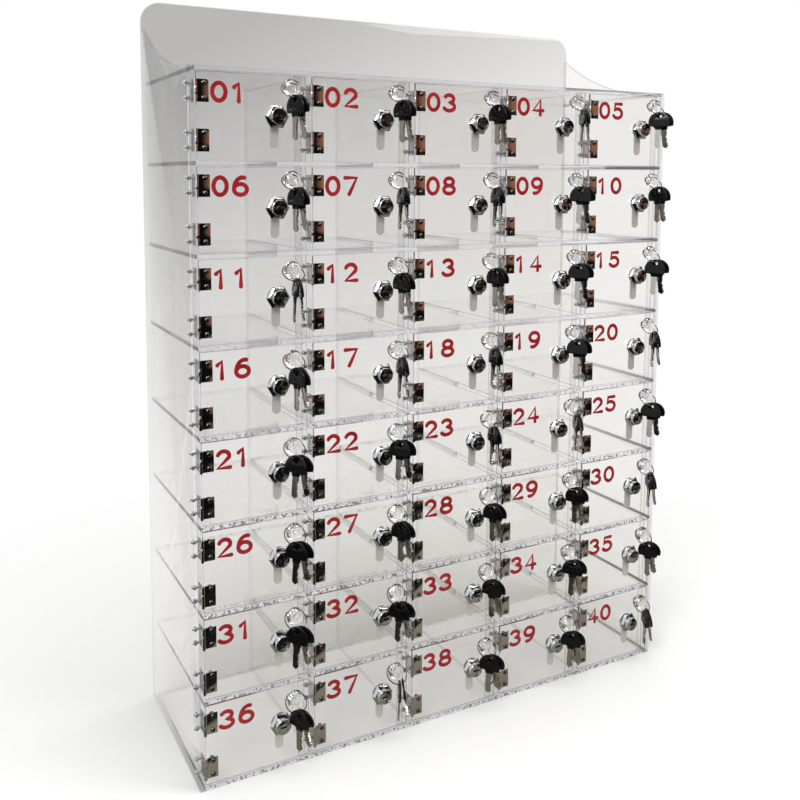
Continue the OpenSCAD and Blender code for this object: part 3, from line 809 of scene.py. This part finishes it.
half_step = 180 / facets
pull_end(-1, 0.55 * crown_h, shoulder_r / knob_r, half_step)
pull_end(-1, 0.45 * crown_h, table_r / shoulder_r, half_step)
pull_end(1, 0.6 * slope_h, waist_r / knob_r, half_step)
pull_end(1, 0.4 * slope_h, neck_r / waist_r, half_step)
pull_end(1, neck_h, 1.0)
bpy.ops.object.mode_set(mode="OBJECT")
soften(knob, 0.00012, 1)
glass, tree = new_material("cut_glass")
flaw = node(tree, "Bump", {"Height": speckle(tree, 300.0), "Strength": 0.04, "Distance": 0.0003})
gem = node(tree, "BsdfPrincipled", {
    "Base Color": (0.97, 0.98, 0.985, 1), "Roughness": 0.02, "IOR": 1.5,
    "Transmission Weight": 1.0, "Normal": flaw.outputs[0]})
surface(tree, gem)
knob = finished(knob, glass, smooth=8)
for door in corners:
    copy_to(knob, door + "_knob", door)
bpy.data.objects.remove(knob)

# Keys
# Two keys hang from a wire ring behind each knob: glossy black moulded heads with a raised
# band, and nickelled blades with cuts along one edge and a groove in the side.
ring_r, wire_r, ring_tilt, ring_gap = 0.0125, 0.0007, 50.0, 0.0001
key_head_r, key_head_t, key_hole_r, key_crown, key_head_h = 0.014, 0.0026, 0.0035, 0.0055, 0.020
collar_w, collar_h = 0.010, 0.004
blade_w, blade_t, blade_l = 0.0075, 0.002, 0.025
key_play = 0.0003
ring_top = Vector((knob_x, -neck_h / 2, knob_z + neck_r + ring_gap + wire_r))
key_lean = 0.6
# Five ways to hang: how far both keys are twisted about the upright and where each sits round
# the ring, in degrees. Then the way of every door, row by row from the top.
hangs = {"S": (-24, -4, 16), "E": (-10, -5, 12), "P": (18, -1, 17), "L": (28, 0, 19),
         "F": (38, -6, 17)}
ways = ("PPPSF", "PEEFP", "EPPFF", "PEEFS", "FFESF", "FLLLS", "FFLFL", "LSFFS")


def ring_foot(angle):
    """The place on the wire at an angle round from the ring's lowest point."""
    return (moved(*ring_top) @ turned(-ring_tilt, "X") @ moved(0, 0, -ring_r)
            @ turned(-angle, "Y") @ moved(0, 0, -ring_r) @ turned(angle, "Y")
            @ turned(ring_tilt, "X") @ turned(-key_lean * angle, "Y"))


def key_drop(twist, place):
    """How far a key's hole hangs below the wire."""
    angle = math.radians(twist - place * math.sin(math.radians(ring_tilt)))
    side = key_head_t / 2 * math.tan(abs(angle))
    room = key_hole_r - wire_r / math.cos(angle)
    sag = (key_head_t / math.cos(angle)) ** 2 / (8 * ring_r)
    return math.sqrt(room * room - side * side) - sag - key_play


head_foot = key_crown - key_head_h
head = rod(key_head_r, (-key_head_t / 2, 0, key_crown - key_head_r), key_head_t, X, sides=64)
select_only(head)
bpy.ops.object.mode_set(mode="EDIT")
bpy.ops.mesh.select_all(action="SELECT")
bpy.ops.mesh.bisect(plane_co=(0, 0, head_foot), plane_no=(0, 0, -1), clear_outer=True, use_fill=True)
bpy.ops.object.mode_set(mode="OBJECT")
collar = block((-key_head_t / 2, -collar_w / 2, head_foot - collar_h),
               (key_head_t / 2, collar_w / 2, head_foot + 0.001))
weld(head, collar)
cut(head, rod(key_hole_r, (-0.01, 0, 0), 0.02, X, sides=32))
soften(head, 0.0005, 3)

# The band is left between two shallow panels on each side of the head.
band_low, band_high, panel_top, panel_depth = -0.0125, -0.0085, -0.0055, 0.0003
panels = ((band_high, panel_top, 0.0095), (head_foot + 0.0008, band_low, 0.0085))
for side in (-1, 1):
    face_x = side * key_head_t / 2
    for low, high, reach in panels:
        panel = block((face_x - panel_depth, -reach, low), (face_x + panel_depth, reach, high))
        soften(panel, 0.00015, 1)
        cut(head, panel)
black, tree = new_material("black_plastic")
mottle = speckle(tree, 500.0)
jet = ramp(tree, mottle, (0.3, (0.002, 0.002, 0.002, 1)), (0.7, (0.005, 0.005, 0.006, 1)))
pores = node(tree, "Bump", {"Height": mottle, "Strength": 0.05, "Distance": 0.0002})
plastic = node(tree, "BsdfPrincipled", {
    "Base Color": jet, "Roughness": scaled(tree, speckle(tree, 90.0), 0.3, 0.7, 0.10, 0.20),
    "Specular IOR Level": 0.22, "Normal": pores.outputs[0]})
surface(tree, plastic)
head = finished(head, black)

blade_top = head_foot - collar_h + 0.0005
blade_foot = head_foot - collar_h - blade_l
blade = block((-blade_t / 2, -blade_w / 2, blade_foot), (blade_t / 2, blade_w / 2, blade_top))
tip_half, tip_y, tip_z = 0.004, blade_w / 2 + 0.0022, blade_foot - 0.0005
for side in (-1, 1):
    corner = block((-0.01, -tip_half, -tip_half), (0.01, tip_half, tip_half))
    corner.data.transform(moved(0, side * tip_y, tip_z) @ turned(45, "X"))
    cut(blade, corner)
notch_half, first_notch, notch_step = 0.0018, 0.0052, 0.0034
for k, depth in enumerate((0.0013, 0.0021, 0.0016, 0.0024, 0.0011)):
    notch = block((-0.01, -notch_half, -notch_half), (0.01, notch_half, notch_half))
    notch.data.transform(
        moved(0, -blade_w / 2 - 0.00255 + depth, blade_foot + first_notch + notch_step * k)
        @ turned(45, "X"))
    cut(blade, notch)
groove_low, groove_high, groove_depth = 0.0002, 0.0018, 0.0005
for side in (-1, 1):
    face_x = side * blade_t / 2
    cut(blade, block((face_x - groove_depth, groove_low, blade_foot - past),
                     (face_x + groove_depth, groove_high, blade_top + past)))
soften(blade, 0.0001, 1)
nickel = bright_metal("key_nickel", (0.50, 0.485, 0.44, 1), (0.36, 0.35, 0.32, 1), 0.10, 400.0)
blade = finished(blade, nickel)

# The ring is one wire bent round until its two ends nearly meet.
wire_gap, wire_steps, wire_sides = 3.0, 64, 12
ends_at = 140
bpy.ops.mesh.primitive_circle_add(
    vertices=wire_sides, radius=wire_r, location=(ring_r, 0, 0), rotation=(math.radians(90), 0, 0))
ring = bpy.context.object
bpy.ops.object.transform_apply(location=True, rotation=True, scale=True)
bpy.ops.object.mode_set(mode="EDIT")
bpy.ops.mesh.select_all(action="SELECT")
bpy.ops.mesh.spin(steps=wire_steps, angle=math.radians(360 - wire_gap), center=(0, 0, 0), axis=(0, 0, 1))
bpy.ops.mesh.select_all(action="SELECT")
bpy.ops.mesh.fill_holes(sides=0)
bpy.ops.object.mode_set(mode="OBJECT")
soften(ring, 0.00012, 1)
ring.data.transform(moved(*ring_top) @ turned(-ring_tilt, "X") @ moved(0, 0, -ring_r)
                    @ turned(90, "X") @ turned(ends_at, "Z"))
ring = finished(ring, shade_darkened_steel)
for door in corners:
    number = int(door[-2:]) - 1
    way = hangs[ways[number // columns][number % columns]]
    copy_to(ring, door + "_key_ring", door)
    for key, place in zip("ab", way[1:]):
        hang = ring_foot(place) @ turned(way[0], "Z") @ moved(0, 0, -key_drop(way[0], place))
        piece = joined(own_copy(head), own_copy(blade))
        piece.name = door + "_key_" + key
        piece.data.transform(moved(*corners[door]) @ hang)
        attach(piece, door)
for pattern in (head, blade, ring):
    bpy.data.objects.remove(pattern)

# Light through the sheets
# A slanting look passes dozens of clear sheets, one behind the other, before it meets the
# floor or the studio.
scene.view_settings.view_transform = "Standard"
scene.cycles.transparent_max_bounces = 96
scene.cycles.max_bounces = 10
scene.cycles.caustics_refractive = False
scene.cycles.caustics_reflective = False
